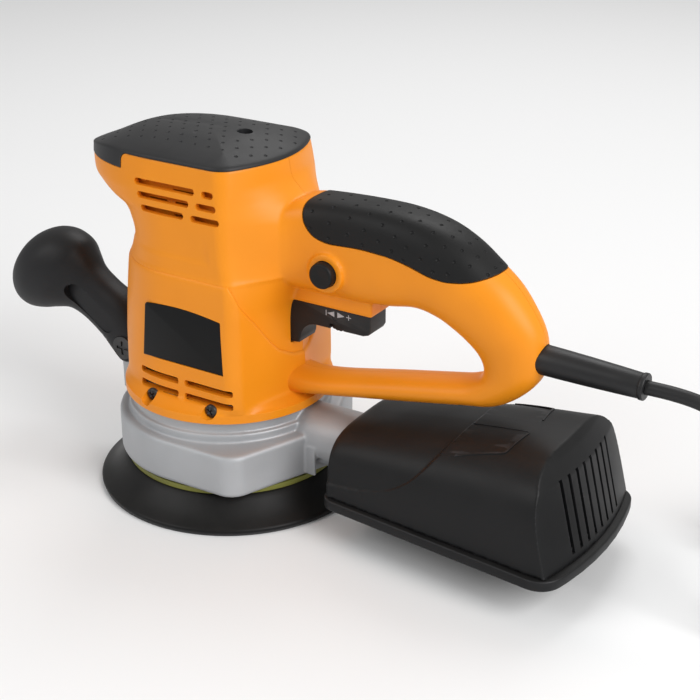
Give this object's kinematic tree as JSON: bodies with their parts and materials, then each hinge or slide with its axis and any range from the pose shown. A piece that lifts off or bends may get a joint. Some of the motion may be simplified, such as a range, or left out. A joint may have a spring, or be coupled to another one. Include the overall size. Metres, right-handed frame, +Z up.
{
  "type": "orbital sander",
  "caption": "Random orbital sander with a D-handle, trigger, front handle, round pad on an eccentric, dust box and supply cord.",
  "frame": {"origin": "centre of the motor axis on the floor face of the sanding pad", "axes": "+X to the rear handle and cord, +Y to the far side shell, +Z up along the motor axis"},
  "size_m": [0.5536, 0.166, 0.1989],
  "materials": {
    "orange_shell": "satin injection-moulded, orange",
    "soft_black": "matt soft-touch elastomer",
    "badge_black": "gloss black, bare",
    "black_plastic": "fine spark-eroded texture",
    "box_plastic": "satin moulded",
    "cast_alloy": "silver painted casting",
    "screw_black": "black oxide",
    "zinc_steel": "zinc plated",
    "spring_steel": "drawn wire",
    "ground_steel": "ground",
    "lamination": "stacked laminations",
    "copper_wire": "enamelled copper",
    "brass": "stamped",
    "carbon": "pressed carbon",
    "fan_plastic": "glass-filled moulding, dark grey",
    "switch_plastic": "moulded",
    "module_parts": "board with potted parts",
    "film_yellow": "film capacitor case",
    "glass_fibre": "olive glass-fibre laminate",
    "pad_foam": "moulded polyurethane",
    "hook_nylon": "nylon hooks",
    "filter_felt": "pleated felt",
    "cord_rubber": "rubber sheath",
    "nickel": "nickel plated"
  },
  "bodies": {
    "machine": {"housing_left": "orange_shell", "housing_right": "orange_shell", "top_cap": "soft_black", "handle_grip": "soft_black", "badge_plates": "badge_black", "trigger_spring": "spring_steel", "switch_body": "switch_plastic", "speed_module": "module_parts", "capacitor": "film_yellow", "field_core": "lamination", "field_coils": "copper_wire", "brush_holders": "brass", "carbon_brushes": "carbon", "brush_springs": "spring_steel", "upper_bearing": "ground_steel", "lower_bearing": "ground_steel", "pad_brake_ring": "soft_black", "gear_housing": "cast_alloy", "tube_seal": "soft_black", "base_screws": "screw_black", "case_screws": "screw_black", "cap_screws": "screw_black", "strain_relief": "cord_rubber", "cord_clamp": "switch_plastic", "cord_lead": "cord_rubber", "cord_coil": "cord_rubber", "coil_tie": "black_plastic", "mains_plug": "cord_rubber", "plug_pins": "nickel"},
    "rotor": {"armature_shaft": "ground_steel", "armature_core": "lamination", "armature_windings": "copper_wire", "commutator": "brass", "motor_fan": "fan_plastic", "dust_fan": "cast_alloy", "pad_bearing": "ground_steel"},
    "pad": {"pad_spindle": "ground_steel", "pad_screw": "screw_black", "pad_plate": "glass_fibre", "pad_foam": "pad_foam", "hook_facing": "hook_nylon"},
    "trigger": {"trigger": "black_plastic"},
    "speed_wheel": {"speed_wheel": "black_plastic"},
    "lock_button": {"lock_button": "black_plastic"},
    "front_handle": {"front_handle": "black_plastic", "handle_bolt": "screw_black", "handle_nut": "zinc_steel"},
    "dust_box": {"dust_hood": "box_plastic", "dust_filter": "filter_felt"},
    "dust_tray": {"dust_tray": "box_plastic"}
  },
  "joints": [
    {"name": "rotor_spin", "type": "hinge", "parent": "machine", "child": "rotor", "pos_m": [0, 0, 0.1], "axis": [0, 0, 1], "continuous": true},
    {"name": "pad_spin", "type": "hinge", "parent": "rotor", "child": "pad", "pos_m": [0.002, 0, 0.02], "axis": [0, 0, 1], "continuous": true},
    {"name": "trigger_pull", "type": "slide", "parent": "machine", "child": "trigger", "axis": [0, 0, 1], "range_m": [0, 0.0055], "stiffness_N_per_m": 900, "springref_m": -0.002, "deforming": ["trigger_spring"]},
    {"name": "speed_turn", "type": "hinge", "parent": "trigger", "child": "speed_wheel", "pos_m": [0.0745, 0, 0.1117], "axis": [0, 1, 0], "range_deg": [0, 280]},
    {"name": "lock_push", "type": "slide", "parent": "machine", "child": "lock_button", "axis": [0, 1, 0], "range_m": [0, 0.0035], "stiffness_N_per_m": 400, "springref_m": -0.002},
    {"name": "front_handle_tilt", "type": "hinge", "parent": "machine", "child": "front_handle", "pos_m": [-0.067, 0, 0.062], "axis": [0, 1, 0], "range_deg": [-15, 20]},
    {"name": "dust_box_slide", "type": "slide", "parent": "machine", "child": "dust_box", "axis": [1, 0, 0], "range_m": [0, 0.03]},
    {"name": "dust_tray_drop", "type": "slide", "parent": "dust_box", "child": "dust_tray", "axis": [0, 0, -1], "range_m": [0, 0.012]}
  ]
}
